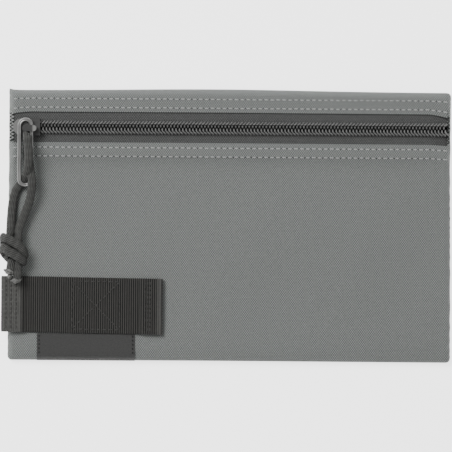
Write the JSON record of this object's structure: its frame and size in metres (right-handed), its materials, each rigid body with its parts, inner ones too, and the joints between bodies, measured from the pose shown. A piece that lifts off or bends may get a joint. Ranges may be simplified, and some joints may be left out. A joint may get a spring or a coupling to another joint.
{
  "type": "zipped deposit pouch",
  "caption": "Flat grey nylon deposit pouch with a coil zip, a cord pull on a metal link, a webbing strap and a plain woven label.",
  "frame": {"origin": "middle of the underside of the pouch and its strap, without the cord pull", "axes": "+X along the zip towards the end where it is fully open, +Y from the bottom fold to the top fold, +Z out of the front face"},
  "size_m": [0.2333, 0.14, 0.0184],
  "materials": {
    "pouch_cloth": "plain-woven grey nylon, matt",
    "binding_cloth": "black woven binding tape",
    "zip_cloth": "dark woven zip tape",
    "zip_coil": "dark nylon monofilament",
    "pale_thread": "light grey sewing thread",
    "dark_thread": "near-black sewing thread",
    "slider_metal": "gunmetal paint, satin",
    "link_metal": "grey plated metal, satin",
    "pull_cord": "braided grey nylon cord",
    "melted_nylon": "pale melted cord end",
    "webbing": "ribbed near-black nylon webbing",
    "label_cloth": "dark grey woven label with no lettering"
  },
  "bodies": {
    "pouch": {"back_panel": "pouch_cloth", "front_lower_panel": "pouch_cloth", "front_upper_panel": "pouch_cloth", "left_seam_binding": "binding_cloth", "right_seam_binding": "binding_cloth", "left_seam_stitching": "pale_thread", "right_seam_stitching": "pale_thread", "upper_zip_tape": "zip_cloth", "upper_coil": "zip_coil", "upper_coil_core": "dark_thread", "upper_coil_stitching": "dark_thread", "upper_hem_stitching": "pale_thread", "left_bartack": "dark_thread", "right_bartack": "dark_thread", "webbing_strap": "webbing", "box_stitching": "dark_thread", "left_end_stitching": "dark_thread", "label": "label_cloth", "label_stitching": "dark_thread"},
    "lower_lip": {"lower_hem": "pouch_cloth", "lower_hem_stitching": "pale_thread", "lower_zip_tape": "zip_cloth", "lower_coil": "zip_coil", "lower_coil_core": "dark_thread", "lower_coil_stitching": "dark_thread"},
    "slider": {"slider_body": "slider_metal", "slider_bail": "slider_metal"},
    "pull": {"pull_link": "link_metal", "cord_front_strand": "pull_cord", "cord_rear_strand": "pull_cord", "cord_knot": "pull_cord", "cord_tails": "pull_cord", "cord_melted_tips": "melted_nylon"},
    "tab": {"strap_tab": "webbing", "tab_stitching": "dark_thread"}
  },
  "joints": [
    {"name": "slider_travel", "type": "slide", "parent": "pouch", "child": "slider", "axis": [1, 0, 0], "range_m": [0, 0.2], "deforming": ["upper_coil", "upper_coil_core", "upper_coil_stitching"]},
    {"name": "mouth_opening", "type": "slide", "parent": "pouch", "child": "lower_lip", "axis": [0, -1, 0], "range_m": [0, 0.01], "deforming": ["lower_zip_tape", "lower_coil", "lower_coil_core", "lower_coil_stitching"]},
    {"name": "pull_swing", "type": "hinge", "parent": "slider", "child": "pull", "pos_m": [-0.1011, 0.05, 0.0121], "axis": [0, 0, 1], "range_deg": [-8, 30]},
    {"name": "tab_lift", "type": "hinge", "parent": "pouch", "child": "tab", "pos_m": [-0.05435, -0.0417, 0.0073], "axis": [0, -1, 0], "range_deg": [0, 75]}
  ],
  "couplings": [
    {"joint": "mouth_opening", "follows": "slider_travel", "ratio": 0.05}
  ]
}
